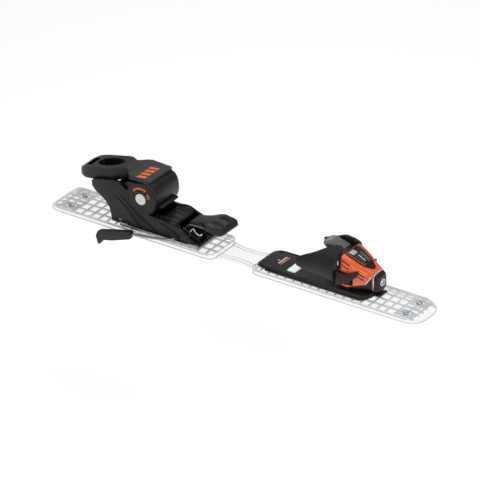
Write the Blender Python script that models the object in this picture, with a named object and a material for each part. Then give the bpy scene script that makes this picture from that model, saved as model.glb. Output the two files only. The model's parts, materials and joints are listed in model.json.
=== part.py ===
"""Rail ski binding: a toe unit and a heel unit with a brake, each sliding on one long moulded rail plate.

+X runs towards the toe, +Y across, +Z up. The origin is the centre of the plate's underside.
Every length below is in millimetres; add_piece turns them into metres.
"""
import math

import bmesh
import bpy
from mathutils import Matrix, Vector

MM = 0.001
GAP = 0.3                       # clearance between neighbouring pieces

# Rail plate
PLATE_HALF_LENGTH = 327.0
PLATE_HALF_WIDTH = 35.0
PLATE_TOP = 10.0
BRIDGE_TOP = 6.5
BRIDGE_REAR = -32.0
BRIDGE_FRONT = 34.0
BRIDGE_HALF_WIDTH = 26.0
PLATE_SCREW_X = 296.0
PLATE_SCREW_Y = 18.0

# Slides between the plate and the two units
TRACK_LOW = PLATE_TOP + GAP
TRACK_TOP = TRACK_LOW + 1.5
BASE_LOW = TRACK_TOP + GAP

# Heel unit
HEEL_AXLE = (-162.0, 63.0)      # X and Z of the jaw's axle
HEEL_AXLE_RADIUS = 5.0
EAR_RADIUS = 25.5
FLANK_IN = 25.6
FLANK_OUT = 30.0
JAW_HALF_WIDTH = 25.2
LEVER_PIN = (-156.0, 86.5)
LEVER_PIN_RADIUS = 2.0
HEEL_SPRING_Z = 57.8
HEEL_BORE_RADIUS = 8.0
FLOOR_TOP = 14.4
SIZE_PIN = (-200.0, 18.0)
SIZE_PIN_RADIUS = 1.5

# Brake
BRAKE_AXIS = (-100.0, 17.5)
BRAKE_WIRE_RADIUS = 2.2
BRAKE_PAD_Y = 43.0
STRUT_TOP = (-60.0, 36.3)
STRUT_FOOT = (-71.7, 17.7)

# Toe unit
WING_PIN = (197.0, 20.0)        # X and |Y| of each wing's upright pin
WING_PIN_RADIUS = 2.5
TOE_SPRING_Z = 34.0
TOE_BORE_RADIUS = 8.5
TOE_BASE_TOP = 19.0
TOE_LATCH_AXIS = (237.6, 14.6)

RUNNING_GAP = 0.3               # radial clearance of pins in their holes
SCREW_SHAFT_RADIUS = 2.4

MATERIALS = {
    "clear_plate": ((0.80, 0.82, 0.84), 0.25, 0.0),
    "black_nylon": ((0.022, 0.022, 0.024), 0.50, 0.0),
    "soft_black": ((0.030, 0.030, 0.032), 0.62, 0.0),
    "orange_shell": ((0.76, 0.13, 0.030), 0.35, 0.0),
    "white_pad": ((0.86, 0.86, 0.86), 0.40, 0.0),
    "grey_cap": ((0.62, 0.62, 0.63), 0.35, 0.0),
    "steel": ((0.55, 0.56, 0.57), 0.30, 1.0),
    "bright_steel": ((0.78, 0.79, 0.80), 0.18, 1.0),
    "spring_steel": ((0.36, 0.36, 0.38), 0.35, 1.0),
}


def scene_clear():
    for thing in list(bpy.data.objects):
        bpy.data.objects.remove(thing, do_unlink=True)


def material(name):
    """One Principled material for each finish, made once."""
    found = bpy.data.materials.get(name)
    if found:
        return found
    colour, roughness, metallic = MATERIALS[name]
    made = bpy.data.materials.new(name)
    made.use_nodes = True
    shader = made.node_tree.nodes["Principled BSDF"]
    shader.inputs["Base Color"].default_value = (*colour, 1.0)
    shader.inputs["Roughness"].default_value = roughness
    shader.inputs["Metallic"].default_value = metallic
    return made


# Outlines: lists of number pairs

def arc(centre, radius, start, end, steps):
    """Points on an arc, angles in degrees."""
    angles = [math.radians(start + (end - start) * i / steps) for i in range(steps + 1)]
    return [(centre[0] + radius * math.cos(a), centre[1] + radius * math.sin(a)) for a in angles]


def circle(centre, radius, sides=24):
    return arc(centre, radius, 0.0, 360.0, sides)[:-1]


def box(low, high):
    return [(low[0], low[1]), (high[0], low[1]), (high[0], high[1]), (low[0], high[1])]


def both_sides(half):
    """Close an outline that is mirrored across Y = 0."""
    return half + [(x, -y) for x, y in reversed(half)]


def ellipse(centre, half_x, half_y, sides=28):
    return [(centre[0] + half_x * a, centre[1] + half_y * b) for a, b in circle((0.0, 0.0), 1.0, sides)]


def capsule(start, end, start_radius, end_radius):
    """Outline of a link with two round ends."""
    lean = math.degrees(math.atan2(end[1] - start[1], end[0] - start[0]))
    near = arc(start, start_radius, lean + 90.0, lean + 270.0, 6)
    far = arc(end, end_radius, lean - 90.0, lean + 90.0, 6)
    return near + far


def rounded_section(half_width, low, high, corner):
    """Upright rounded rectangle as (y, z) pairs, with three points on each corner."""
    points = []
    for side, level, start in ((1, high, 0.0), (-1, high, 90.0), (-1, low, 180.0), (1, low, 270.0)):
        centre_y = side * (half_width - corner)
        centre_z = level - corner if level == high else level + corner
        points += arc((centre_y, centre_z), corner, start, start + 90.0, 3)
    return points


# Solids: bmesh values in millimetres

def loft(rings):
    """Skin closed rings of equal length in order, with a flat cap on each end."""
    bm = bmesh.new()
    loops = [[bm.verts.new(point) for point in ring] for ring in rings]
    for near, far in zip(loops, loops[1:]):
        for i, vert in enumerate(near):
            j = (i + 1) % len(near)
            bm.faces.new((vert, near[j], far[j], far[i]))
    bm.faces.new(loops[0])
    bm.faces.new(loops[-1])
    bmesh.ops.recalc_face_normals(bm, faces=bm.faces)
    return bm


def place(axis, pair, along):
    """Put an outline's pair and a station along the axis into X, Y, Z order."""
    if axis == "X":
        return (along, pair[0], pair[1])
    if axis == "Y":
        return (pair[0], along, pair[1])
    return (pair[0], pair[1], along)


def prism(axis, outline, low, high):
    return loft([[place(axis, pair, level) for pair in outline] for level in (low, high)])


def turned(axis, centre, stations, sides=24):
    """Round solid about an axis: stations are (distance along it, radius)."""
    return loft([[place(axis, pair, along) for pair in circle(centre, radius, sides)]
                 for along, radius in stations])


def tube(path, radius, sides=8):
    """Round wire along a path of points."""
    points = [Vector(point) for point in path]
    rings = []
    side = None
    for i, point in enumerate(points):
        ahead = points[min(i + 1, len(points) - 1)] - points[max(i - 1, 0)]
        ahead.normalize()
        if side is None:
            side = ahead.orthogonal()
        side = (side - ahead * side.dot(ahead)).normalized()
        up = ahead.cross(side)
        turns = [2.0 * math.pi * k / sides for k in range(sides)]
        rings.append([point + (side * math.cos(a) + up * math.sin(a)) * radius for a in turns])
    return loft(rings)


def coil(start_x, end_x, centre_z, radius, wire_radius, turns):
    """Compression spring along X."""
    steps = int(turns * 10)
    path = []
    for i in range(steps + 1):
        angle = 2.0 * math.pi * turns * i / steps
        x = start_x + wire_radius + (end_x - start_x - 2.0 * wire_radius) * i / steps
        path.append((x, radius * math.cos(angle), centre_z + radius * math.sin(angle)))
    return tube(path, wire_radius, 6)


def to_object(bm, name):
    mesh = bpy.data.meshes.new(name)
    bm.to_mesh(mesh)
    bm.free()
    made = bpy.data.objects.new(name, mesh)
    bpy.context.scene.collection.objects.link(made)
    return made


def combine(operation, target, *tools):
    """Boolean of the target with each tool in turn: DIFFERENCE, UNION or INTERSECT."""
    result = target
    for tool in tools:
        pair = [to_object(bm, "combine_step") for bm in (result, tool)]
        modifier = pair[0].modifiers.new("combine", "BOOLEAN")
        modifier.operation = operation
        modifier.object = pair[1]
        bpy.context.view_layer.update()
        result = bmesh.new()
        result.from_object(pair[0], bpy.context.evaluated_depsgraph_get())
        for thing in pair:
            mesh = thing.data
            bpy.data.objects.remove(thing, do_unlink=True)
            bpy.data.meshes.remove(mesh)
    return result


def flipped(bm):
    """The same solid on the other side of Y = 0."""
    copy = bm.copy()
    bmesh.ops.scale(copy, vec=(1.0, -1.0, 1.0), verts=copy.verts)
    bmesh.ops.reverse_faces(copy, faces=copy.faces)
    return copy


def pivot(name, point, parent=None):
    """Empty on a joint's axis, which carries the pieces that move about it."""
    empty = bpy.data.objects.new(name, None)
    empty.empty_display_size = 0.01
    bpy.context.scene.collection.objects.link(empty)
    world = Vector(point) * MM
    empty["world"] = world[:]
    empty.location = world - Vector(parent["world"]) if parent else world
    empty.parent = parent
    return empty


def add_piece(name, bm, finish, parent=None):
    """Turn a solid into a named object in metres, with its finish, carried by a joint's empty."""
    origin = Vector(parent["world"]) if parent else Vector((0.0, 0.0, 0.0))
    bmesh.ops.transform(bm, matrix=Matrix.Translation(-origin) @ Matrix.Scale(MM, 4), verts=bm.verts)
    bmesh.ops.recalc_face_normals(bm, faces=bm.faces)
    made = to_object(bm, name)
    made.data.materials.append(material(finish))
    made.data.shade_smooth()
    made.data.set_sharp_from_angle(angle=math.radians(35.0))
    made.parent = parent
    return made


# Rail plate

def build_plate():
    rear = both_sides([(-PLATE_HALF_LENGTH, 14.0), (-325.5, 25.0), (-321.0, 31.0), (-311.0, PLATE_HALF_WIDTH),
                       (-43.0, PLATE_HALF_WIDTH), (-35.5, 32.0), (BRIDGE_REAR, BRIDGE_HALF_WIDTH)])
    front = both_sides([(BRIDGE_FRONT, BRIDGE_HALF_WIDTH), (37.5, 32.0), (45.0, PLATE_HALF_WIDTH),
                        (298.0, PLATE_HALF_WIDTH), (313.0, 32.0), (322.5, 25.0), (PLATE_HALF_LENGTH, 13.0)])
    bridge = both_sides([(BRIDGE_REAR + GAP, BRIDGE_HALF_WIDTH), (-18.0, 22.0), (1.0, 20.5), (20.0, 22.0),
                         (BRIDGE_FRONT - GAP, BRIDGE_HALF_WIDTH)])
    add_piece("bridge_plate", prism("Z", bridge, 0.0, BRIDGE_TOP), "clear_plate")
    for name, outline, way in (("rear_plate", rear, -1), ("front_plate", front, 1)):
        solid = prism("Z", outline, 0.0, PLATE_TOP)
        for side_name, side in (("left", 1), ("right", -1)):
            centre = (way * PLATE_SCREW_X, side * PLATE_SCREW_Y)
            hole = turned("Z", centre, [(-1.0, 2.8), (5.7, 2.8), (5.7, 5.3), (PLATE_TOP + 1.0, 5.3)], 16)
            solid = combine("DIFFERENCE", solid, hole)
            screw = turned("Z", centre, [(0.0, 2.4), (6.0, 2.4), (6.0, 4.9), (8.6, 4.9), (9.3, 4.0)], 16)
            add_piece("screw_" + name + "_" + side_name, screw, "steel")
        add_piece(name, solid, "clear_plate")


# Heel unit

def heel_track(parent):
    channel = [(-33.5, TRACK_LOW), (33.5, TRACK_LOW), (33.5, 14.5), (31.2, 14.5), (31.2, TRACK_TOP),
               (-31.2, TRACK_TOP), (-31.2, 14.5), (-33.5, 14.5)]
    solid = prism("X", channel, -197.0, -60.0)
    for low_x, high_x in ((-197.5, -184.0), (-76.0, -59.5)):
        for side in (1, -1):
            y_range = sorted((side * 30.6, side * 34.2))
            block = prism("X", box((y_range[0], 10.8), (y_range[1], 16.5)), low_x, high_x)
            solid = combine("UNION", solid, block)
    add_piece("heel_track", solid, "steel", parent)


def heel_carriage(parent):
    ear = arc(HEEL_AXLE, EAR_RADIUS, 165.0, -60.0, 20)
    flank = [(-214.0, BASE_LOW), (-216.0, 23.0), (-219.0, 33.0), (-228.0, 44.0), (-243.0, 53.0), (-249.5, 60.0),
             (-250.5, 68.5), (-247.0, 72.3), (-228.0, 76.4), (-210.0, 80.0), (-203.0, 80.3), (-196.0, 75.0)] + ear
    flank += [(-140.0, 39.0), (-127.0, 39.0), (-105.0, 36.5), (-93.0, 32.5), (-84.0, 27.5), (-75.0, 21.5),
              (-65.0, 17.0), (-62.0, BASE_LOW)]
    solid = prism("Z", box((-213.5, -27.0), (-62.5, 27.0)), BASE_LOW, FLOOR_TOP)
    walls = [prism("Y", flank, FLANK_IN, FLANK_OUT), prism("Y", flank, -FLANK_OUT, -FLANK_IN)]
    platform = prism("Y", [(-132.5, 13.0), (-132.5, 38.0), (-127.0, 38.5), (-105.0, 36.0), (-104.0, 32.0),
                           (-128.0, 33.0), (-128.0, 13.0)], -27.0, 27.0)
    solid = combine("UNION", solid, *walls, platform)
    holes = [turned("Y", HEEL_AXLE, [(-32.0, HEEL_AXLE_RADIUS + RUNNING_GAP), (32.0, HEEL_AXLE_RADIUS + RUNNING_GAP)]),
             turned("Y", BRAKE_AXIS, [(-32.0, BRAKE_WIRE_RADIUS + 0.5), (32.0, BRAKE_WIRE_RADIUS + 0.5)], 16),
             turned("Y", SIZE_PIN, [(-32.0, SIZE_PIN_RADIUS + RUNNING_GAP), (32.0, SIZE_PIN_RADIUS + RUNNING_GAP)], 12)]
    add_piece("heel_carriage", combine("DIFFERENCE", solid, *holes), "black_nylon", parent)
    add_piece("heel_axle", turned("Y", HEEL_AXLE, [(-30.0, HEEL_AXLE_RADIUS), (30.0, HEEL_AXLE_RADIUS)]),
              "steel", parent)
    for name, side in (("axle_cap_left", 1), ("axle_cap_right", -1)):
        cap = turned("Y", HEEL_AXLE, [(30.3, 9.0), (31.4, 9.0), (32.2, 8.0)])
        add_piece(name, cap if side > 0 else flipped(cap), "grey_cap", parent)
    add_piece("heel_pressure_spring", coil(-184.0, -133.0, 21.5, 5.0, 1.1, 7), "spring_steel", parent)


def heel_size_lever(parent):
    blade = [(-228.0, 16.2), (-203.0, 15.6), (-197.6, 16.0), (-197.2, 20.0), (-202.0, 20.4), (-212.0, 18.6),
             (-227.0, 18.8)]
    solid = prism("Y", blade, -11.0, 11.0)
    reach = SIZE_PIN_RADIUS + RUNNING_GAP
    solid = combine("DIFFERENCE", solid, turned("Y", SIZE_PIN, [(-12.0, reach), (12.0, reach)], 12))
    add_piece("heel_size_lever", solid, "soft_black", parent)


def jaw_front():
    """The jaw's front outline in X and Z, from the top ridge down under the drum."""
    return [(-147.5, 90.2), (-141.5, 87.5), (-137.2, 81.5), (-135.0, 73.0), (-134.5, 64.0), (-135.8, 56.0),
            (-139.5, 48.0)]


def heel_jaw(parent):
    under = [(-146.0, 41.0), (-154.0, 37.0), (-162.0, 35.8), (-172.0, 37.5), (-181.0, 42.5), (-187.0, 46.8)]
    rear = [(-215.0, 46.8), (-215.0, 68.3), (-203.0, 69.5), (-197.0, 75.5), (-189.0, 82.0)]
    core = prism("Y", jaw_front() + under + rear, -JAW_HALF_WIDTH, JAW_HALF_WIDTH)
    shell = prism("Y", jaw_front() + [(-143.0, 44.0), HEEL_AXLE, (-158.0, 89.6)], -FLANK_OUT, FLANK_OUT)
    clear = EAR_RADIUS + 2.0 * GAP
    shell = combine("DIFFERENCE", shell, turned("Y", HEEL_AXLE, [(-33.0, clear), (33.0, clear)], 40))
    solid = combine("UNION", core, shell)
    axle = HEEL_AXLE_RADIUS + RUNNING_GAP
    pin = LEVER_PIN_RADIUS + RUNNING_GAP
    bore = turned("X", (0.0, HEEL_SPRING_Z), [(-220.0, HEEL_BORE_RADIUS), (-190.0, HEEL_BORE_RADIUS)])
    slot = prism("Y", box((-164.0, 80.5), (-148.5, 95.0)), -8.5, 8.5)
    solid = combine("DIFFERENCE", solid, bore, slot,
                    turned("Y", HEEL_AXLE, [(-33.0, axle), (33.0, axle)]),
                    turned("Y", LEVER_PIN, [(-33.0, pin), (33.0, pin)], 12))
    add_piece("heel_jaw", solid, "black_nylon", parent)
    tongue = [(-135.2, 57.2), (-130.0, 56.6), (-128.2, 54.8), (-130.0, 52.2), (-138.2, 49.8)]
    add_piece("heel_tread", prism("Y", tongue, -20.0, 20.0), "soft_black", parent)
    add_piece("lever_pin", turned("Y", LEVER_PIN, [(-24.0, LEVER_PIN_RADIUS), (24.0, LEVER_PIN_RADIUS)], 12),
              "steel", parent)
    add_piece("heel_spring", coil(-209.2, -194.8, HEEL_SPRING_Z, 5.8, 1.1, 4), "spring_steel", parent)


def ring_piece(axis, centre, low, high, radius, hole):
    """Round block with a hole along its axis."""
    block = turned(axis, centre, [(low, radius), (high, radius)])
    return combine("DIFFERENCE", block, turned(axis, centre, [(low - 1.0, hole), (high + 1.0, hole)], 16))


def heel_release_parts(parent):
    """Piston, spring nut and release screw, in line behind the drum."""
    centre = (0.0, HEEL_SPRING_Z)
    running = HEEL_BORE_RADIUS - RUNNING_GAP
    hole = SCREW_SHAFT_RADIUS + RUNNING_GAP
    add_piece("heel_piston", ring_piece("X", centre, -194.5, -190.4, running, hole), "steel",
              pivot("heel_piston_slide", (-192.4, 0.0, HEEL_SPRING_Z), parent))
    add_piece("heel_spring_nut", ring_piece("X", centre, -214.0, -209.6, running, hole), "steel",
              pivot("heel_nut_slide", (-211.8, 0.0, HEEL_SPRING_Z), parent))
    screw = turned("X", centre, [(-221.0, 5.8), (-220.0, 6.8), (-215.4, 6.8), (-215.4, SCREW_SHAFT_RADIUS),
                                 (-196.5, SCREW_SHAFT_RADIUS)])
    slots = [prism("X", box((-5.0, HEEL_SPRING_Z - 0.8), (5.0, HEEL_SPRING_Z + 0.8)), -222.0, -219.0),
             prism("X", box((-0.8, HEEL_SPRING_Z - 5.0), (0.8, HEEL_SPRING_Z + 5.0)), -222.0, -219.0)]
    add_piece("heel_release_screw", combine("DIFFERENCE", screw, *slots), "bright_steel",
              pivot("heel_screw_turn", (-215.0, 0.0, HEEL_SPRING_Z), parent))


def heel_lever(parent):
    side = [(-147.5, 90.6), (-147.5, 95.5), (-166.0, 96.3), (-185.0, 97.0), (-194.0, 98.7), (-205.0, 98.0),
            (-216.0, 95.5), (-240.0, 89.8), (-256.0, 86.0), (-270.0, 81.8), (-279.0, 77.0), (-283.0, 72.5),
            (-281.0, 68.0), (-271.0, 66.0), (-252.0, 68.0), (-228.0, 73.0), (-206.0, 78.0), (-197.0, 83.0),
            (-189.5, 90.6)]
    plan = both_sides([(-146.0, FLANK_OUT), (-182.0, FLANK_OUT), (-188.0, 25.5), (-194.0, 16.5), (-199.0, 14.5),
                       (-205.0, 18.0), (-212.0, 22.5), (-220.0, 24.0), (-264.0, 24.0), (-275.0, 19.5),
                       (-281.0, 13.0), (-284.0, 6.0)])
    solid = combine("INTERSECT", prism("Y", side, -40.0, 40.0), prism("Z", plan, 50.0, 110.0))
    lug = prism("Y", capsule((LEVER_PIN[0], 90.2), LEVER_PIN, 5.0, 5.0), -8.0, 8.0)
    solid = combine("UNION", solid, lug)
    hole = LEVER_PIN_RADIUS + RUNNING_GAP
    pocket = prism("Z", ellipse((-236.0, 0.0), 21.0, 13.5), 78.5, 110.0)
    solid = combine("DIFFERENCE", solid, pocket, turned("Y", LEVER_PIN, [(-9.0, hole), (9.0, hole)], 12))
    add_piece("heel_lever", solid, "black_nylon", parent)


# Brake

def mirror_path(path, side):
    return [(x, side * y, z) for x, y, z in path]


def build_brake(parent):
    side = [(-87.0, 38.5), (-87.0, 40.5), (-74.0, 43.0), (-62.0, 46.8), (-54.0, 48.2), (-45.0, 48.6), (-30.0, 46.5),
            (-22.5, 42.8), (-22.0, 39.0), (-29.0, 37.2), (-50.0, 39.8), (-60.0, 39.8)]
    plan = both_sides([(-88.0, 13.0), (-85.0, 15.0), (-62.0, 15.0), (-55.0, 21.0), (-50.0, 24.0), (-27.0, 24.0),
                       (-21.0, 18.0)])
    pedal = combine("INTERSECT", prism("Y", side, -30.0, 30.0), prism("Z", plan, 30.0, 60.0))
    add_piece("brake_pedal", pedal, "black_nylon", parent)
    axis_x, axis_z = BRAKE_AXIS
    route = [(-60.0, 12.0, 36.7), (-84.0, 12.0, 35.5), (-92.0, 13.0, 29.0), (-98.0, 15.5, 20.5),
             (axis_x, 19.0, axis_z), (axis_x, 36.5, axis_z), (-103.5, 40.0, 17.0), (-115.0, 42.0, 15.4),
             (-140.0, BRAKE_PAD_Y, 12.0), (-168.0, BRAKE_PAD_Y, 8.0), (-183.0, BRAKE_PAD_Y, 4.2)]
    pad = [(-171.0, 12.9), (-168.5, 7.5), (-171.0, 0.5), (-203.0, -11.0), (-220.0, -15.0), (-225.5, -23.5),
           (-228.0, -23.5), (-232.0, -11.0), (-229.0, -3.0), (-222.0, -0.5)]
    for name, way in (("left", 1), ("right", -1)):
        add_piece("brake_wire_" + name, tube(mirror_path(route, way), BRAKE_WIRE_RADIUS), "steel", parent)
        y_range = sorted((way * (BRAKE_PAD_Y - 4.3), way * (BRAKE_PAD_Y + 4.3)))
        socket = tube(mirror_path([(-158.0, BRAKE_PAD_Y, 10.53), (-186.0, BRAKE_PAD_Y, 3.44)], way),
                      BRAKE_WIRE_RADIUS + 0.4)
        add_piece("brake_pad_" + name, combine("DIFFERENCE", prism("Y", pad, *y_range), socket), "soft_black", parent)


def brake_strut(parent):
    add_piece("brake_strut", prism("Y", capsule(STRUT_TOP, STRUT_FOOT, 2.4, 1.8), -8.0, 8.0), "black_nylon", parent)


def brake_spring(parent):
    path = [(-80.0, -23.0, FLOOR_TOP + 1.4), (-79.5, -23.0, 27.0), (-76.0, -23.0, 34.5), (-73.0, -23.0, 36.5),
            (-70.0, -23.0, 33.0), (-66.0, -23.0, 30.0), (-61.0, -23.0, 29.5), (-57.5, -23.0, 33.5)]
    add_piece("brake_spring", tube(path, 1.1), "bright_steel", parent)


# Toe unit

def toe_base(parent):
    track = both_sides([(60.0, 29.0), (64.0, 31.5), (222.0, 31.5), (229.0, 27.0)])
    add_piece("toe_track", prism("Z", track, TRACK_LOW, TRACK_TOP), "steel", parent)
    plan = both_sides([(39.0, 17.0), (42.0, 25.0), (50.0, 28.5), (88.0, 30.0), (225.0, 29.5),
                       (231.0, 25.0), (235.0, 15.0)])
    side = [(38.5, BASE_LOW), (236.0, BASE_LOW), (236.0, TOE_BASE_TOP), (142.0, TOE_BASE_TOP), (133.0, 15.8),
            (56.0, 15.8), (45.0, 14.8), (38.5, 13.6)]
    solid = combine("INTERSECT", prism("Z", plan, 0.0, 30.0), prism("Y", side, -40.0, 40.0))
    recess = prism("Z", box((89.7, -20.3), (104.3, 20.3)), 14.4, 20.0)
    pins = [turned("Z", (WING_PIN[0], way * WING_PIN[1]), [(13.8, WING_PIN_RADIUS + RUNNING_GAP),
                                                          (25.0, WING_PIN_RADIUS + RUNNING_GAP)], 16)
            for way in (1, -1)]
    add_piece("toe_base", combine("DIFFERENCE", solid, recess, *pins), "black_nylon", parent)
    add_piece("afd_pad", prism("Z", box((90.0, -20.0), (104.0, 20.0)), 14.7, 17.2), "white_pad", parent)


def toe_housing(parent):
    stations = [(181.0, 22.5, 22.0, 72.0), (187.0, 25.5, 21.0, 72.5), (198.0, 25.5, 19.6, 68.5),
                (212.0, 22.5, 19.6, 61.5), (225.0, 18.0, 20.0, 55.0), (236.0, 14.5, 21.0, 50.5)]
    rings = [[(x, y, z) for y, z in rounded_section(width, low, high, 7.0)] for x, width, low, high in stations]
    tools = [turned("X", (0.0, TOE_SPRING_Z), [(187.5, TOE_BORE_RADIUS), (245.0, TOE_BORE_RADIUS)])]
    for way in (1, -1):
        y_range = sorted((way * 9.8, way * 40.0))
        tools.append(prism("X", box((y_range[0], 27.0), (y_range[1], 46.5)), 170.0, 207.5))
        reach = WING_PIN_RADIUS + RUNNING_GAP
        tools.append(turned("Z", (WING_PIN[0], way * WING_PIN[1]), [(15.0, reach), (60.5, reach)], 16))
    add_piece("toe_housing", combine("DIFFERENCE", loft(rings), *tools), "orange_shell", parent)
    for name, way in (("left", 1), ("right", -1)):
        pin = turned("Z", (WING_PIN[0], way * WING_PIN[1]), [(14.1, WING_PIN_RADIUS), (60.0, WING_PIN_RADIUS)], 16)
        add_piece("wing_pin_" + name, pin, "steel", parent)
        outline = [(182.6, 24.5), (195.0, 30.0), (206.0, 36.8), (214.0, 44.0), (218.0, 51.0), (217.0, 54.5),
                   (209.0, 49.5), (199.0, 47.0), (182.6, 46.5)]
        outer = [(182.6, 31.5), (196.0, 31.0), (206.0, 28.8), (218.5, 24.6)]
        band = outer + [(x, y - 2.4) for x, y in reversed(outer)]
        ledge = sorted((way * 24.6, way * 27.5))
        guard = combine("INTERSECT", prism("Y", outline, *sorted((way * 15.0, way * 40.0))),
                        prism("Z", [(x, way * y) for x, y in band], 15.0, 60.0))
        guard = combine("UNION", guard, prism("X", box((ledge[0], 45.4), (ledge[1], 48.0)), 206.0, 209.5))
        add_piece("toe_guard_" + name, guard, "soft_black", parent)


def toe_trim(parent):
    lip_side = [(145.5, 75.8), (148.0, 78.6), (153.0, 79.6), (165.0, 78.0), (180.6, 74.4), (180.6, 61.0),
                (176.5, 61.0), (172.0, 69.5), (158.0, 73.0), (148.0, 73.6)]
    lip_plan = both_sides([(145.0, 7.0), (149.0, 12.0), (156.0, 14.0), (165.0, 11.0), (182.0, 11.0)])
    lip = combine("INTERSECT", prism("Y", lip_side, -30.0, 30.0), prism("Z", lip_plan, 50.0, 100.0))
    add_piece("toe_lip", lip, "soft_black", parent)
    slope = [(189.5, 72.1), (198.2, 69.0), (212.2, 62.0), (222.0, 57.0)]
    raised = [(x + 0.5, z + 1.1) for x, z in reversed(slope)]
    panel_plan = both_sides([(189.0, 16.0), (198.0, 17.0), (212.0, 14.5), (223.0, 11.0)])
    panel = combine("INTERSECT", prism("Y", slope + raised, -20.0, 20.0), prism("Z", panel_plan, 50.0, 80.0))
    add_piece("toe_top_panel", panel, "black_nylon", parent)
    trim = [[(x, y, z) for y, z in rounded_section(14.5, 21.0, 50.5, 7.0)] for x in (236.3, 237.9)]
    bore = turned("X", (0.0, TOE_SPRING_Z), [(230.0, TOE_BORE_RADIUS), (245.0, TOE_BORE_RADIUS)])
    add_piece("housing_trim", combine("DIFFERENCE", loft(trim), bore), "bright_steel", parent)
    sizes = [(238.2, 13.7, 49.0), (241.5, 12.6, 47.2), (243.6, 10.8, 45.2)]
    rings = [[(x, y, z) for y, z in rounded_section(width, 21.0, high, 6.0)] for x, width, high in sizes]
    hole = turned("X", (0.0, TOE_SPRING_Z), [(237.0, SCREW_SHAFT_RADIUS + 0.6), (240.6, SCREW_SHAFT_RADIUS + 0.6),
                                            (240.6, 6.7), (247.0, 6.7)])
    add_piece("front_cap", combine("DIFFERENCE", loft(rings), hole), "black_nylon", parent)


def toe_release_parts(parent):
    """Plunger behind the wings, spring, spring nut and the release screw in front."""
    centre = (0.0, TOE_SPRING_Z)
    running = TOE_BORE_RADIUS - RUNNING_GAP
    add_piece("toe_spring", coil(194.6, 217.6, TOE_SPRING_Z, 6.1, 1.3, 5), "spring_steel", parent)
    add_piece("toe_plunger", turned("X", centre, [(188.0, 6.5), (189.0, running), (194.3, running)]), "steel",
              pivot("toe_plunger_slide", (191.0, 0.0, TOE_SPRING_Z), parent))
    add_piece("toe_spring_nut", ring_piece("X", centre, 218.0, 223.0, running, SCREW_SHAFT_RADIUS + RUNNING_GAP),
              "steel", pivot("toe_nut_slide", (220.5, 0.0, TOE_SPRING_Z), parent))
    screw = turned("X", centre, [(200.0, SCREW_SHAFT_RADIUS), (240.9, SCREW_SHAFT_RADIUS), (240.9, 6.3),
                                 (244.4, 6.3), (245.2, 5.6)])
    slots = [prism("X", box((-4.6, TOE_SPRING_Z - 0.9), (4.6, TOE_SPRING_Z + 0.9)), 243.2, 247.0),
             prism("X", box((-0.9, TOE_SPRING_Z - 4.6), (0.9, TOE_SPRING_Z + 4.6)), 243.2, 247.0)]
    add_piece("toe_release_screw", combine("DIFFERENCE", screw, *slots), "bright_steel",
              pivot("toe_screw_turn", (240.9, 0.0, TOE_SPRING_Z), parent))


def wing_ring(x, low, high, foot, middle, head, thickness):
    """Section of the wing's curved wall at one X: |Y| at its foot, middle and head, outside then inside."""
    steps = 6
    outer = []
    for i in range(steps + 1):
        t = i / steps
        y = foot * (1 - t) * (1 - 2 * t) + 4 * middle * t * (1 - t) + head * t * (2 * t - 1)
        outer.append((x, y, low + (high - low) * t))
    inner = [(x, y - thickness, z) for x, y, z in reversed(outer)]
    return outer + inner


def toe_wing(parent, name, way):
    stations = [(118.5, 42.0, 54.5, 38.5, 39.2, 37.8, 2.4), (128.0, 38.5, 59.7, 37.5, 39.5, 35.5, 3.8),
                (142.0, 35.5, 66.0, 35.5, 39.0, 32.5, 4.4), (158.0, 33.5, 75.0, 34.0, 38.0, 27.0, 4.6),
                (170.0, 32.0, 81.0, 33.5, 37.0, 21.0, 4.6), (179.5, 31.0, 82.0, 33.0, 35.5, 18.0, 4.6),
                (180.3, 48.5, 82.0, 33.4, 35.4, 18.0, 4.6), (185.5, 52.5, 79.5, 32.2, 33.8, 19.0, 4.4)]
    shell = loft([wing_ring(*station) for station in stations])
    arm_plan = [(170.0, 18.0), (170.0, 31.5), (177.0, 31.5), (177.5, 24.0), (203.0, 25.0), (203.0, 14.5),
                (185.0, 14.5)]
    arm = prism("Z", arm_plan, 30.0, 45.5)
    reach = WING_PIN_RADIUS + RUNNING_GAP
    solid = combine("DIFFERENCE", combine("UNION", shell, arm), turned("Z", WING_PIN, [(20.0, reach), (60.0, reach)], 16))
    add_piece(name, solid if way > 0 else flipped(solid), "soft_black", parent)


def toe_size_latch(parent):
    blade = capsule(TOE_LATCH_AXIS, (245.0, 15.4), 2.0, 1.6)
    add_piece("toe_size_lever", prism("Y", blade, -9.0, 9.0), "soft_black", parent)


def build_heel():
    track = pivot("heel_size_slide", (-128.0, 0.0, TRACK_LOW))
    heel_track(track)
    carriage = pivot("heel_pressure_slide", (-138.0, 0.0, BASE_LOW), track)
    heel_carriage(carriage)
    add_piece("heel_size_pin", turned("Y", SIZE_PIN, [(-29.5, SIZE_PIN_RADIUS), (29.5, SIZE_PIN_RADIUS)], 12),
              "steel", carriage)
    heel_size_lever(pivot("heel_size_lever_hinge", (SIZE_PIN[0], 0.0, SIZE_PIN[1]), carriage))
    jaw = pivot("heel_jaw_hinge", (HEEL_AXLE[0], 0.0, HEEL_AXLE[1]), carriage)
    heel_jaw(jaw)
    heel_release_parts(jaw)
    heel_lever(pivot("heel_lever_hinge", (LEVER_PIN[0], 0.0, LEVER_PIN[1]), jaw))
    brake = pivot("brake_hinge", (BRAKE_AXIS[0], 0.0, BRAKE_AXIS[1]), carriage)
    build_brake(brake)
    brake_strut(pivot("brake_strut_hinge", (STRUT_TOP[0], 0.0, STRUT_TOP[1]), brake))
    brake_spring(carriage)


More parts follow.
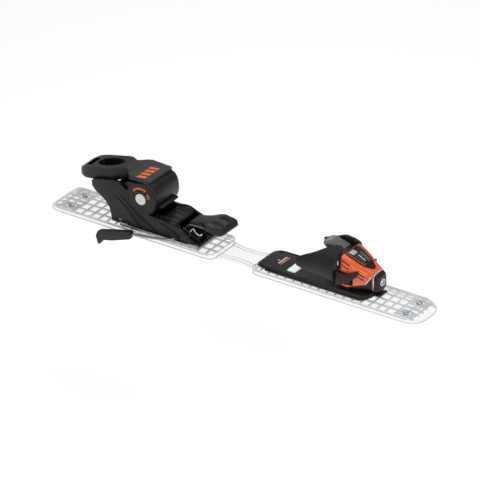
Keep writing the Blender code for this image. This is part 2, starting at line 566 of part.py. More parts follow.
def build_toe():
    base = pivot("toe_size_slide", (140.0, 0.0, TRACK_LOW))
    toe_base(base)
    toe_housing(base)
    toe_trim(base)
    toe_release_parts(base)
    for name, way in (("wing_left", 1), ("wing_right", -1)):
        toe_wing(pivot(name + "_hinge", (WING_PIN[0], way * WING_PIN[1], 37.0), base), name, way)
    toe_size_latch(pivot("toe_size_lever_hinge", (TOE_LATCH_AXIS[0], 0.0, TOE_LATCH_AXIS[1]), base))


scene_clear()
build_plate()
build_heel()
build_toe()
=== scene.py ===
import json
import math
import bmesh
import bpy
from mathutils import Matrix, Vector
from mathutils.bvhtree import BVHTree


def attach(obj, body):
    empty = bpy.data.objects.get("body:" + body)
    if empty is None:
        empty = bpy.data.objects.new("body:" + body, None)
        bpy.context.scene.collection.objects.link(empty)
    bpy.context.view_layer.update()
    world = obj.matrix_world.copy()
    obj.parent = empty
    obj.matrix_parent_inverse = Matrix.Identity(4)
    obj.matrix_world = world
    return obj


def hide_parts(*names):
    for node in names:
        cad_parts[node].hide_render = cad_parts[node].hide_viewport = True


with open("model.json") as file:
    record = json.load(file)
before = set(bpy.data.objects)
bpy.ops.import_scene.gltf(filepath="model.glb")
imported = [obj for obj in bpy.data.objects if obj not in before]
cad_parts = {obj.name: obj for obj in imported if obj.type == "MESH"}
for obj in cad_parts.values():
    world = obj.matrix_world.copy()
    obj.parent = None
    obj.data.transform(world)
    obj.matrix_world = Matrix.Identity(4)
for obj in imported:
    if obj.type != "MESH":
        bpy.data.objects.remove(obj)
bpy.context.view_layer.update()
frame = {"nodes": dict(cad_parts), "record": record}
mm = 0.001


# colour and nodes

def linear(hexColour, alpha=1.0):
    parts = [int(hexColour[i:i + 2], 16) / 255 for i in (1, 3, 5)]
    return [p / 12.92 if p <= 0.04045 else ((p + 0.055) / 1.055) ** 2.4 for p in parts] + [alpha]


def addNode(tree, kind, settings=None, links=None):
    node = tree.nodes.new(kind)
    for key, value in (settings or {}).items():
        if isinstance(key, str) and hasattr(node, key):
            setattr(node, key, value)
        else:
            node.inputs[key].default_value = value
    for key, source in (links or {}).items():
        tree.links.new(source, node.inputs[key])
    return node


def startMaterial(name, constants):
    # constants go straight onto the shader's own sockets
    made = bpy.data.materials.new(name)
    made.use_nodes = True
    shader = made.node_tree.nodes["Principled BSDF"]
    for key, value in constants.items():
        shader.inputs[key].default_value = value
    return made, made.node_tree, shader


def surfaceNoise(tree, size, detail=3.0, stretch=(1.0, 1.0, 1.0)):
    # noise whose features are about size metres across, in the object's own space
    place = addNode(tree, "ShaderNodeTexCoord")
    turn = addNode(tree, "ShaderNodeMapping", {"Scale": stretch}, {"Vector": place.outputs["Object"]})
    return addNode(tree, "ShaderNodeTexNoise", {"Scale": 1.0 / size, "Detail": detail},
                   {"Vector": turn.outputs["Vector"]})


def tintAndGrain(tree, shader, look):
    # slow colour drift, uneven gloss and a fine moulded or ground grain
    drift = surfaceNoise(tree, look["driftSize"])
    colours = {"data_type": "RGBA", 6: linear(look["colour"]), 7: linear(look["shade"])}
    tint = addNode(tree, "ShaderNodeMix", colours, {0: drift.outputs["Fac"]})
    tree.links.new(tint.outputs[2], shader.inputs["Base Color"])
    grain = surfaceNoise(tree, look["grainSize"], 2.0, look.get("stretch", (1.0, 1.0, 1.0)))
    middle, spread = look["roughness"], look["glossSpread"]
    limits = {"To Min": middle - spread, "To Max": middle + spread}
    gloss = addNode(tree, "ShaderNodeMapRange", limits, {"Value": grain.outputs["Fac"]})
    tree.links.new(gloss.outputs["Result"], shader.inputs["Roughness"])
    relief = {"Strength": look["grainStrength"], "Distance": look["grainDepth"]}
    bump = addNode(tree, "ShaderNodeBump", relief, {"Height": grain.outputs["Fac"]})
    tree.links.new(bump.outputs["Normal"], shader.inputs["Normal"])


def glassFilledNylon():
    # injection moulded, spark-eroded mould: near black with a soft satin highlight
    look = {"colour": "#141415", "shade": "#0e0e0f", "driftSize": 40 * mm,
            "roughness": 0.38, "glossSpread": 0.06, "grainSize": 1.4 * mm,
            "grainStrength": 0.25, "grainDepth": 0.10 * mm}  # the real grain is 0.2 mm, drawn coarser
    made, tree, shader = startMaterial("glassFilledNylon", {"IOR": 1.53, "Specular IOR Level": 0.32})
    tintAndGrain(tree, shader, look)
    return made


def mattNylon():
    # unfilled nylon from a rougher mould: a shade lighter and flatter than the frame parts
    look = {"colour": "#161617", "shade": "#101011", "driftSize": 30 * mm,
            "roughness": 0.52, "glossSpread": 0.05, "grainSize": 1.6 * mm,
            "grainStrength": 0.30, "grainDepth": 0.10 * mm}
    made, tree, shader = startMaterial("mattNylon", {"IOR": 1.53, "Specular IOR Level": 0.35})
    tintAndGrain(tree, shader, look)
    return made


def brakeRubber():
    # overmoulded brake arm plastic, dull and slightly grey
    look = {"colour": "#1c1c1d", "shade": "#151516", "driftSize": 18 * mm,
            "roughness": 0.60, "glossSpread": 0.06, "grainSize": 2.0 * mm,
            "grainStrength": 0.35, "grainDepth": 0.15 * mm}
    made, tree, shader = startMaterial("brakeRubber", {"IOR": 1.50})
    tintAndGrain(tree, shader, look)
    return made


def orangeAbs():
    # film-printed ABS: bright orange with brushed streaks along the shell, under a clear gloss
    look = {"colour": "#ff6a2a", "shade": "#ea541d", "driftSize": 9 * mm,
            "roughness": 0.34, "glossSpread": 0.06, "grainSize": 3.0 * mm,
            "grainStrength": 0.10, "grainDepth": 0.05 * mm, "stretch": (0.25, 1.0, 2.5)}
    made, tree, shader = startMaterial("orangeAbs", {
        "IOR": 1.54, "Coat Weight": 0.35, "Coat Roughness": 0.12})
    tintAndGrain(tree, shader, look)
    return made


def whiteAcetal():
    # machined-smooth low-friction pad: clean white and faintly waxy, with a small painted glow standing in
    # for light it loses under the wings and housing
    look = {"colour": "#ffffff", "shade": "#fafaf9", "driftSize": 12 * mm,
            "roughness": 0.38, "glossSpread": 0.05, "grainSize": 1.5 * mm,
            "grainStrength": 0.10, "grainDepth": 0.05 * mm}
    # painted light: the emission lifts the pad out of the shade that the wings and housing cast on it
    made, tree, shader = startMaterial("whiteAcetal", {
        "IOR": 1.48, "Subsurface Weight": 0.1,
        "Emission Color": linear("#ffffff"), "Emission Strength": 0.22})
    tintAndGrain(tree, shader, look)
    return made


def greyCapAbs():
    # pale grey press-in cap with a satin face
    look = {"colour": "#e4e4e3", "shade": "#dadad9", "driftSize": 10 * mm,
            "roughness": 0.38, "glossSpread": 0.06, "grainSize": 1.4 * mm,
            "grainStrength": 0.12, "grainDepth": 0.05 * mm}
    made, tree, shader = startMaterial("greyCapAbs", {"IOR": 1.54})
    tintAndGrain(tree, shader, look)
    return made


def smokyPolycarbonate():
    # smoke-tinted visor plastic: dark grey with a brighter edge gloss
    look = {"colour": "#6a6a6c", "shade": "#58585a", "driftSize": 10 * mm,
            "roughness": 0.26, "glossSpread": 0.05, "grainSize": 1.6 * mm,
            "grainStrength": 0.08, "grainDepth": 0.05 * mm}
    made, tree, shader = startMaterial("smokyPolycarbonate", {"IOR": 1.58, "Coat Weight": 0.25})
    tintAndGrain(tree, shader, look)
    return made


def zincSteel():
    # cold-rolled, zinc-plated strip: grey with long rolling streaks
    look = {"colour": "#a9abad", "shade": "#8b8d90", "driftSize": 14 * mm,
            "roughness": 0.36, "glossSpread": 0.08, "grainSize": 1.6 * mm,
            "grainStrength": 0.20, "grainDepth": 0.06 * mm, "stretch": (0.08, 1.0, 1.0)}
    made, tree, shader = startMaterial("zincSteel", {"Metallic": 1.0})
    tintAndGrain(tree, shader, look)
    return made


def nickelPlate():
    # bright nickel-plated screw heads and trim
    look = {"colour": "#dcdddf", "shade": "#c3c5c8", "driftSize": 8 * mm,
            "roughness": 0.24, "glossSpread": 0.06, "grainSize": 1.2 * mm,
            "grainStrength": 0.10, "grainDepth": 0.04 * mm}
    made, tree, shader = startMaterial("nickelPlate", {"Metallic": 1.0})
    tintAndGrain(tree, shader, look)
    return made


def springWire():
    # oiled spring steel, drawn wire: dark and streaky
    look = {"colour": "#77787c", "shade": "#5a5b5f", "driftSize": 5 * mm,
            "roughness": 0.34, "glossSpread": 0.08, "grainSize": 1.2 * mm,
            "grainStrength": 0.20, "grainDepth": 0.05 * mm}
    made, tree, shader = startMaterial("springWire", {"Metallic": 1.0})
    tintAndGrain(tree, shader, look)
    return made


def clearPolycarbonate():
    # clear glossy moulded skin of the rail plate: you see the ribs through it; its bright outline is a
    # painted edge highlight on separate beads
    look = {"colour": "#a6aaad", "shade": "#969a9e", "driftSize": 30 * mm,
            "roughness": 0.16, "glossSpread": 0.05, "grainSize": 6.0 * mm,
            "grainStrength": 0.12, "grainDepth": 0.15 * mm}
    made, tree, shader = startMaterial("clearPolycarbonate", {"IOR": 1.58, "Alpha": 0.10})
    tintAndGrain(tree, shader, look)
    return made


def clearRib():
    # ribs stand edge on to the eye, so the clear plastic looks milky there and shades from pale to mid grey
    look = {"colour": "#f1f3f5", "shade": "#e2e5e8", "driftSize": 12 * mm,
            "roughness": 0.30, "glossSpread": 0.05, "grainSize": 4.0 * mm,
            "grainStrength": 0.08, "grainDepth": 0.05 * mm}
    made, tree, shader = startMaterial("clearRib", {"IOR": 1.58})
    tintAndGrain(tree, shader, look)
    return made


def clearEdge():
    # painted highlight: opaque near-white beads stand for the light that piles up along a clear moulding's
    # edges, which gives the plate its outline
    look = {"colour": "#f6f7f8", "shade": "#eef0f2", "driftSize": 20 * mm,
            "roughness": 0.22, "glossSpread": 0.05, "grainSize": 4.0 * mm,
            "grainStrength": 0.08, "grainDepth": 0.05 * mm}
    made, tree, shader = startMaterial("clearEdge", {"IOR": 1.58})
    tintAndGrain(tree, shader, look)
    return made


def printInk(name, colour, shade):
    # pad-printed ink: flat, slightly speckled colour
    look = {"colour": colour, "shade": shade, "driftSize": 3 * mm,
            "roughness": 0.45, "glossSpread": 0.05, "grainSize": 1.0 * mm,
            "grainStrength": 0.10, "grainDepth": 0.03 * mm}
    made, tree, shader = startMaterial(name, {"IOR": 1.50})
    tintAndGrain(tree, shader, look)
    return made


finishes = {
    "black_nylon": glassFilledNylon(), "soft_black": mattNylon(), "orange_shell": orangeAbs(),
    "white_pad": whiteAcetal(), "grey_cap": greyCapAbs(), "steel": zincSteel(), "bright_steel": nickelPlate(),
    "spring_steel": springWire(), "clear_plate": clearPolycarbonate()}
ribFinish = clearRib()
edgeHighlightFinish = clearEdge()
padFinish = brakeRubber()
smokeFinish = smokyPolycarbonate()
inks = {
    "orange": printInk("orangeInk", "#ff7b33", "#fb6c26"),
    "white": printInk("whiteInk", "#f3f3f1", "#dededc"),
    "dark": printInk("darkInk", "#222425", "#191a1b"),
    "grey": printInk("greyInk", "#8c8f90", "#7b7e80"),
    # not ink: a pale tint for the painted highlight lines on the orange shell
    "sand": printInk("sandInk", "#f5b27a", "#ef9a5c")}
nodeSlots = {part["node"]: part["material_slot"] for part in frame["record"]["subparts"]}
nodeBodies = {node: body for body, nodes in frame["record"]["behaviour"]["bodies"].items() for node in nodes}
print("materials made")


# outlines: lists of number pairs in millimetres

def arcPoints(centre, radius, start, end, steps):
    angles = [math.radians(start + (end - start) * i / steps) for i in range(steps + 1)]
    return [(centre[0] + radius * math.cos(a), centre[1] + radius * math.sin(a)) for a in angles]


def smoothLine(points, perSpan=5):
    # Catmull-Rom line through the points, open ended
    line = []
    for i in range(len(points) - 1):
        p0, p1, p2, p3 = points[max(i - 1, 0)], points[i], points[i + 1], points[min(i + 2, len(points) - 1)]
        for k in range(perSpan):
            t = k / perSpan
            weights = ((-t + 2 * t * t - t ** 3) / 2, (2 - 5 * t * t + 3 * t ** 3) / 2,
                       (t + 4 * t * t - 3 * t ** 3) / 2, (-t * t + t ** 3) / 2)
            near = list(zip(weights, (p0, p1, p2, p3)))
            line.append(tuple(sum(w * p[n] for w, p in near) for n in range(len(p1))))
    return line + [tuple(points[-1])]


def bothSides(half):
    return half + [(x, -y) for x, y in reversed(half)]


def rectangle(lowX, lowY, highX, highY):
    return [(lowX, lowY), (highX, lowY), (highX, highY), (lowX, highY)]


def roundedSection(halfWidth, low, high, corner, steps=6):
    points = []
    for side, level, start in ((1, high, 0.0), (-1, high, 90.0), (-1, low, 180.0), (1, low, 270.0)):
        centre = (side * (halfWidth - corner), level - corner if level == high else level + corner)
        points += arcPoints(centre, corner, start, start + 90.0, steps)
    return points


# solids: bmesh values in millimetres

def loft(rings, capped=True):
    bm = bmesh.new()
    loops = [[bm.verts.new(point) for point in ring] for ring in rings]
    for near, far in zip(loops, loops[1:]):
        for i, vert in enumerate(near):
            j = (i + 1) % len(near)
            bm.faces.new((vert, near[j], far[j], far[i]))
    if capped:
        bm.faces.new(loops[0])
        bm.faces.new(loops[-1])
    bmesh.ops.recalc_face_normals(bm, faces=bm.faces)
    return bm


def placed(axis, pair, along):
    if axis == "X":
        return (along, pair[0], pair[1])
    if axis == "Y":
        return (pair[0], along, pair[1])
    return (pair[0], pair[1], along)


def prism(axis, outline, low, high):
    low, high = min(low, high), max(low, high)
    return loft([[placed(axis, pair, level) for pair in outline] for level in (low, high)])


def turned(axis, centre, stations, sides=64):
    return loft([[placed(axis, pair, along) for pair in arcPoints(centre, radius, 0, 360, sides)[:-1]]
                 for along, radius in stations])


def ringSolid(axis, centre, low, high, outer, inner, edge=0.3, sides=96):
    # washer with eased edges, closed by skinning its section round
    section = [(low, inner), (low, outer - edge), (low + edge, outer),
               (high - edge, outer), (high, outer - edge), (high, inner)]
    rings = [[placed(axis, pair, along) for pair in arcPoints(centre, radius, 0, 360, sides)[:-1]]
             for along, radius in section]
    return loft(rings + [rings[0]], False)


def tube(path, radius, sides=16):
    points = [Vector(point) for point in path]
    rings = []
    side = None
    for i, point in enumerate(points):
        ahead = (points[min(i + 1, len(points) - 1)] - points[max(i - 1, 0)]).normalized()
        side = side or ahead.orthogonal()
        side = (side - ahead * side.dot(ahead)).normalized()
        up = ahead.cross(side)
        turns = [2 * math.pi * k / sides for k in range(sides)]
        rings.append([point + (side * math.cos(a) + up * math.sin(a)) * radius for a in turns])
    return loft(rings)


def merged(*solids):
    # several separate solids in one mesh
    whole = bmesh.new()
    for solid in solids:
        data = bpy.data.meshes.new("part")
        solid.to_mesh(data)
        solid.free()
        whole.from_mesh(data)
        bpy.data.meshes.remove(data)
    return whole


def solidObject(bm, name):
    data = bpy.data.meshes.new(name)
    bm.to_mesh(data)
    bm.free()
    made = bpy.data.objects.new(name, data)
    bpy.context.scene.collection.objects.link(made)
    return made


def baked(thing):
    # the object's mesh after its modifiers, as a bmesh, and the object gone
    bpy.context.view_layer.update()
    result = bmesh.new()
    result.from_object(thing, bpy.context.evaluated_depsgraph_get())
    data = thing.data
    bpy.data.objects.remove(thing, do_unlink=True)
    bpy.data.meshes.remove(data)
    return result


def combined(operation, target, *tools):
    result = target
    for tool in tools:
        first, second = solidObject(result, "combineTarget"), solidObject(tool, "combineTool")
        change = first.modifiers.new("combine", "BOOLEAN")
        change.operation, change.object = operation, second
        result = baked(first)
        data = second.data
        bpy.data.objects.remove(second, do_unlink=True)
        bpy.data.meshes.remove(data)
    return result


def eased(bm, width, segments=3, angle=32.0):
    # round the sharp edges of a solid by width millimetres
    bmesh.ops.dissolve_limit(bm, angle_limit=math.radians(0.5), verts=bm.verts, edges=bm.edges)
    thing = solidObject(bm, "easing")
    bevel = thing.modifiers.new("bevel", "BEVEL")
    bevel.width, bevel.segments = width, segments
    bevel.limit_method, bevel.angle_limit = "ANGLE", math.radians(angle)
    bevel.use_clamp_overlap = True
    bevel.miter_outer = "MITER_ARC"
    return baked(thing)


def flipped(bm):
    copy = bm.copy()
    bmesh.ops.scale(copy, vec=(1.0, -1.0, 1.0), verts=copy.verts)
    bmesh.ops.reverse_faces(copy, faces=copy.faces)
    return copy


def showPiece(name, bm, finish, body, nodes=(), sharp=35.0):
    # a finished piece in metres, riding on its body and standing for its CAD nodes
    bmesh.ops.remove_doubles(bm, verts=bm.verts, dist=0.0005)
    bmesh.ops.scale(bm, vec=(mm, mm, mm), verts=bm.verts)
    thing = solidObject(bm, name)
    thing.data.materials.append(finish)
    thing.data.shade_smooth()
    thing.data.set_sharp_from_angle(angle=math.radians(sharp))
    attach(thing, body)
    if nodes:
        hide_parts(*nodes)
    return thing


def nodeSolid(node):
    # a CAD node's own mesh in millimetres, welded and with its flat faces whole
    bm = bmesh.new()
    bm.from_mesh(frame["nodes"][node].data)
    bmesh.ops.scale(bm, vec=(1 / mm, 1 / mm, 1 / mm), verts=bm.verts)
    bmesh.ops.remove_doubles(bm, verts=bm.verts, dist=0.002)
    bmesh.ops.dissolve_limit(bm, angle_limit=math.radians(1.0), verts=bm.verts, edges=bm.edges)
    return bm


def finishedNode(node, width, finish=None, segments=3):
    # a plain CAD node with eased edges, under a name of its own
    words = node.split("_")
    name = words[0] + "".join(word.capitalize() for word in words[1:])
    solid = eased(nodeSolid(node), width, segments) if width else nodeSolid(node)
    return showPiece(name, solid, finish or finishes[nodeSlots[node]], nodeBodies[node], [node])


for node, thing in frame["nodes"].items():
    thing.data.materials.clear()
    thing.data.materials.append(finishes[nodeSlots[node]])


# stage, light and camera

stageLook = {
    "floorColour": "#ffffff", "floorDrop": 0.26, "floorSize": 12.0, "floorGlow": 0.37,
    "world": "#ffffff", "worldStrength": 0.34,
    "azimuth": 34.0, "elevation": 28.4, "lens": 600.0, "distance": 11.76, "target": (-0.0112, 0.0077, 0.0234)}
lamps = {  # name: place, size, power, aimed at
    "keyLight": ((-0.6, -1.3, 1.9), 0.7, 9.5, (0.0, 0.0, 0.03)),
    "topLight": ((0.3, 0.5, 2.2), 1.4, 13.0, (0.0, 0.0, 0.03)),
    "sideLight": ((2.0, -0.6, 0.9), 0.7, 9.5, (0.05, 0.0, 0.03)),
    "backLight": ((-1.2, 1.9, 1.1), 0.8, 2.2, (-0.1, 0.0, 0.05))}


def setStage():
    look = stageLook
    paper = linear(look["floorColour"])
    made = startMaterial("paperFloor", {
        "Roughness": 0.9, "Base Color": paper,
        "Emission Color": paper, "Emission Strength": look["floorGlow"]})[0]
    half = look["floorSize"] / 2
    data = bpy.data.meshes.new("floor")
    corners = [(x, y, 0) for x, y in rectangle(-half, -half, half, half)]
    data.from_pydata(corners, [], [(0, 1, 2, 3)])
    floor = bpy.data.objects.new("floor", data)
    floor.location.z = -look["floorDrop"]
    floor.data.materials.append(made)
    bpy.context.scene.collection.objects.link(floor)
    world = bpy.data.worlds.new("studio")
    bpy.context.scene.world = world
    world.use_nodes = True
    world.node_tree.nodes["Background"].inputs["Color"].default_value = linear(look["world"])
    world.node_tree.nodes["Background"].inputs["Strength"].default_value = look["worldStrength"]
    for name, (place, size, power, aim) in lamps.items():
        light = bpy.data.lights.new(name, "AREA")
        light.shape, light.size, light.energy = "DISK", size, power
        lamp = bpy.data.objects.new(name, light)
        lamp.location = place
        lamp.rotation_euler = (Vector(aim) - Vector(place)).to_track_quat("-Z", "Y").to_euler()
        bpy.context.scene.collection.objects.link(lamp)
    turn, tilt = math.radians(look["azimuth"]), math.radians(look["elevation"])
    back = Vector((math.sin(turn) * math.cos(tilt), -math.cos(turn) * math.cos(tilt), math.sin(tilt)))
    lens = bpy.data.cameras.new("camera")
    lens.lens, lens.sensor_width, lens.clip_end = look["lens"], 36.0, 40.0
    camera = bpy.data.objects.new("camera", lens)
    camera.location = Vector(look["target"]) + back * look["distance"]
    camera.rotation_euler = back.to_track_quat("Z", "Y").to_euler()
    bpy.context.scene.collection.objects.link(camera)
    bpy.context.scene.camera = camera
    bpy.context.scene.view_settings.view_transform = "Standard"


setStage()
print("stage set")


# rail plate

plateShape = {
    "halfLength": 327.0, "halfWidth": 35.0, "top": 10.0, "wall": 1.8, "roof": 1.6,
    "past": 340.0, "side": 50.0,  # cutters reach this far along and across
    "bridgeTop": 6.5, "bridgeRear": -32.0, "bridgeFront": 34.0, "bridgeHalf": 26.0,
    "noseRear": -316.0, "noseFront": 303.0, "rearSlope": 0.5375, "frontSlope": 0.265,
    "cellLength": 15.0, "cellsEnd": 282.0, "ribWidth": 2.0, "ribTop": 8.2, "ribLow": 5.6,
    "rows": (-33.0, -16.5, 0.0, 16.5, 33.0), "bead": 0.9,
    "screwX": 296.0, "screwY": 18.0, "screwBore": 2.8, "screwSeat": 5.3, "seatLow": 5.7,
    "bossSkin": 7.2, "bossRib": 7.5}
endCells = [  # windows of the lattice beyond the regular cells: X and Y of two corners
    (284.0, 2.0, 296.0, 9.5), (298.5, 2.0, 309.5, 9.5), (312.0, 2.0, 323.0, 11.0),
    (312.0, 13.5, 320.0, 24.0), (284.0, 26.5, 296.0, 31.5), (298.5, 26.5, 307.0, 31.0)]
screwHead = [(0.0, 2.4), (6.0, 2.4), (6.0, 4.9), (8.2, 4.9), (8.9, 4.5), (9.3, 3.6)]  # height, radius


def padOutline(way):
    s = plateShape
    if way < 0:
        end = [(-s["halfLength"], 12.0), (-325.5, 25.0), (-321.0, 31.0), (-311.0, s["halfWidth"])]
        waist = [(-43.5, s["halfWidth"]), (-35.5, 32.0), (s["bridgeRear"], s["bridgeHalf"])]
        half = smoothLine(end, 4) + smoothLine(waist, 4)
    else:
        waist = [(s["bridgeFront"], s["bridgeHalf"]), (37.5, 32.0), (45.5, s["halfWidth"])]
        end = [(298.0, s["halfWidth"]), (313.0, 32.0), (322.5, 25.0), (s["halfLength"], 12.0)]
        half = smoothLine(waist, 4) + smoothLine(end, 4)
    return bothSides(half)


def inset(outline, amount):
    # outline drawn in by amount on every side
    points = [Vector(point) for point in outline]
    turning = sum(a.cross(b) for a, b in zip(points, points[1:] + points[:1]))
    result = []
    for i, point in enumerate(points):
        along = (points[(i + 1) % len(points)] - points[i - 1]).normalized()
        across = Vector((-along.y, along.x)) * (1 if turning > 0 else -1)
        result.append(tuple(point + across * amount))
    return result


def padProfile(drop):
    # side outline of a pad: both ends slope down to a low nose, and drop shrinks it for the hollow
    s = plateShape
    past, top = s["past"], s["top"] - drop
    return [(-past, -2.0), (-past, -2.9 - drop), (s["noseRear"] + drop, top), (s["noseFront"] - drop, top),
            (past, 0.2 - drop), (past, -2.0)]


def padTop(x):
    s = plateShape
    front = s["top"] - (x - s["noseFront"]) * s["frontSlope"]
    rear = s["top"] + (x - s["noseRear"]) * s["rearSlope"]
    return min(s["top"], front, rear)


def highlightBead(outline, level, radius):
    # thin bead along a closed outline, which carries the painted edge highlight
    path = [(x, y, min(level, padTop(x) - radius - 0.1)) for x, y in outline]
    return tube(path + path[:2], radius, 10)


def screwHoles(way, radius, low, high):
    x, y = way * plateShape["screwX"], plateShape["screwY"]
    return [turned("Z", (x, side * y), [(low, radius), (high, radius)], 32) for side in (1, -1)]


def buildPad(name, node, way):
    s = plateShape
    outline = padOutline(way)
    lowX, highX = min(x for x, y in outline), max(x for x, y in outline)
    past, wide = s["past"], s["side"]
    skin = combined("INTERSECT", prism("Z", outline, 0.0, s["top"]), prism("Y", padProfile(0.0), -wide, wide))
    skin = eased(skin, s["wall"], 4)
    hollow = combined("INTERSECT", prism("Z", inset(outline, s["wall"]), -1.0, s["top"] - s["roof"]),
                      prism("Y", padProfile(s["roof"]), -wide, wide))
    hollow = combined("DIFFERENCE", hollow, *screwHoles(way, s["bossSkin"], -2.0, 12.0))
    holes = screwHoles(way, s["screwBore"], -1.0, 12.0) + screwHoles(way, s["screwSeat"], s["seatLow"], 12.0)
    showPiece(name, combined("DIFFERENCE", skin, hollow, *holes), finishes["clear_plate"], "plate", [node])
    lattice = combined("INTERSECT", prism("Z", inset(outline, s["wall"] + 0.2), 1.0, s["ribTop"]),
                       prism("Y", padProfile(s["wall"]), -wide, wide))
    under = [(-past, -3.0), (past, -3.0), (past, 2.0), (306.0, s["ribLow"]),
             (s["noseRear"], s["ribLow"]), (-past, 2.0)]
    lattice = combined("DIFFERENCE", lattice, prism("Y", under, -wide, wide))
    count = round((highX - lowX) / s["cellLength"])
    pitch = (highX - lowX) / count
    cells = []
    for i in range(count):
        for lowY, highY in zip(s["rows"], s["rows"][1:]):
            start = lowX + i * pitch
            if abs(start + pitch / 2) > s["cellsEnd"]:
                continue
            rib = s["ribWidth"] / 2
            corners = rectangle(start + rib, lowY + rib, start + pitch - rib, highY - rib)
            cells.append(prism("Z", corners, -1.0, 12.0))
    for x0, y0, x1, y1 in endCells:
        for side in (1, -1):
            cells.append(prism("Z", [(way * x, side * y) for x, y in rectangle(x0, y0, x1, y1)], -1.0, 12.0))
    lattice = combined("DIFFERENCE", lattice, merged(*cells), *screwHoles(way, s["bossRib"], -2.0, 12.0))
    showPiece(name + "Ribs", lattice, ribFinish, "plate", ())
    # painted highlight: near-white beads along the pad's top and bottom edges
    edgeHighlights = merged(*[highlightBead(inset(outline, 1.0), level, s["bead"]) for level in (s["top"] - 1.0, 1.0)])
    showPiece(name + "Rims", edgeHighlights, edgeHighlightFinish, "plate", ())


def buildPlate():
    s = plateShape
    buildPad("rearPlate", "rear_plate", -1)
    buildPad("frontPlate", "front_plate", 1)
    line = smoothLine([(s["bridgeRear"] + 0.3, s["bridgeHalf"]), (-18.0, 22.0), (1.0, 20.5), (20.0, 22.0),
                       (s["bridgeFront"] - 0.3, s["bridgeHalf"])], 6)
    showPiece("bridgePlate", eased(prism("Z", bothSides(line), 0.0, s["bridgeTop"]), 1.2, 3),
              finishes["clear_plate"], "plate", ["bridge_plate"])
    # painted highlight: near-white beads along the bridge's edges
    highlightBeads = [tube([(x, side * (y - gap), level) for x, y in line], 0.7, 10)
             for side in (1, -1) for gap, level in ((0.9, 5.6), (7.5, 5.6))]
    showPiece("bridgeRims", merged(*highlightBeads), edgeHighlightFinish, "plate", ())
    for way, place in ((-1, "rear"), (1, "front")):
        for side, hand in ((1, "left"), (-1, "right")):
            x, y = way * s["screwX"], side * s["screwY"]
            cross = [prism("Z", rectangle(x - a, y - b, x + a, y + b), 7.6, 12.0)
                     for a, b in ((2.6, 0.5), (0.5, 2.6))]
            head = combined("DIFFERENCE", turned("Z", (x, y), screwHead, 40), *cross)
            node = "screw_" + place + "_plate_" + hand
            name = "plateScrew" + place.capitalize() + hand.capitalize()
            showPiece(name, head, finishes["bright_steel"], "plate", [node])


buildPlate()
print("rail plate built")


# thin films and raised lines

def film(outline, level, rise, plane="Z"):
    # flat print: plane gives the axis it faces, level the surface it lies on
    return prism(plane, outline, level - 0.3 * (1 if rise > 0 else -1), level + rise)


def laidOn(bm, height):
    # lift every point of a flat solid by the height of a surface under it
    for vert in bm.verts:
        vert.co.z += height(vert.co.x)
    return bm


def ridge(path, widths, level, crest, side=-1):
    # raised crease on a side wall: path in X and Z, sharp along its middle, fading out at both ends
    points = [Vector(point) for point in path]
    rings = []
    for i, point in enumerate(points):
        along = (points[min(i + 1, len(points) - 1)] - points[max(i - 1, 0)]).normalized()
        across = Vector((-along.y, along.x)) * widths[i]
        low, high = point - across, point + across
        fade = math.sin(math.pi * (0.06 + 0.88 * i / (len(points) - 1)))
        rings.append([(low.x, side * (level - 0.6), low.y), (point.x, side * (level + crest * fade), point.y),
                      (high.x, side * (level - 0.6), high.y)])
    return loft(rings)


def surfaceTree(*things):
    # what the given finished pieces look like to a ray, in millimetres
    whole = bmesh.new()
    for thing in things:
        whole.from_mesh(thing.data)
    bmesh.ops.scale(whole, vec=(1 / mm, 1 / mm, 1 / mm), verts=whole.verts)
    tree = BVHTree.FromBMesh(whole)
    whole.free()
    return tree


rayStart = {"Y": 60.0, "Z": 130.0}  # clear of the object on either axis


def printedOn(tree, outline, way, rise=0.12, step=1.6, axis="Y"):
    # ink film wrapped on a curved surface: outline in X and Z seen along Y, or in X and Y seen along Z
    flat = bmesh.new()
    flat.faces.new([flat.verts.new((a, b, 0.0)) for a, b in outline])
    for direction, k in (((1, 0, 0), 0), ((0, 1, 0), 1)):
        spots = [v.co[k] for v in flat.verts]
        cut = min(spots) + step
        while cut < max(spots) - 0.1:
            bmesh.ops.bisect_plane(flat, geom=flat.verts[:] + flat.edges[:] + flat.faces[:],
                                   plane_co=[cut * d for d in direction], plane_no=direction)
            cut += step
    bmesh.ops.triangulate(flat, faces=flat.faces)
    kept = []
    for vert in flat.verts:
        a, b = vert.co.x, vert.co.y
        if axis == "Y":
            hit = tree.ray_cast(Vector((a, way * rayStart["Y"], b)), Vector((0, -way, 0)))
        else:
            hit = tree.ray_cast(Vector((a, b, way * rayStart["Z"])), Vector((0, 0, -way)))
        kept.append(hit[:2])
    missed = []
    for vert, (place, normal) in zip(flat.verts, kept):
        if place is None:
            missed.append(vert)
        else:
            vert.co = place + normal * rise
    bmesh.ops.delete(flat, geom=missed, context="VERTS")
    bmesh.ops.recalc_face_normals(flat, faces=flat.faces)
    bmesh.ops.solidify(flat, geom=flat.faces[:], thickness=0.3)
    return flat


# heel unit

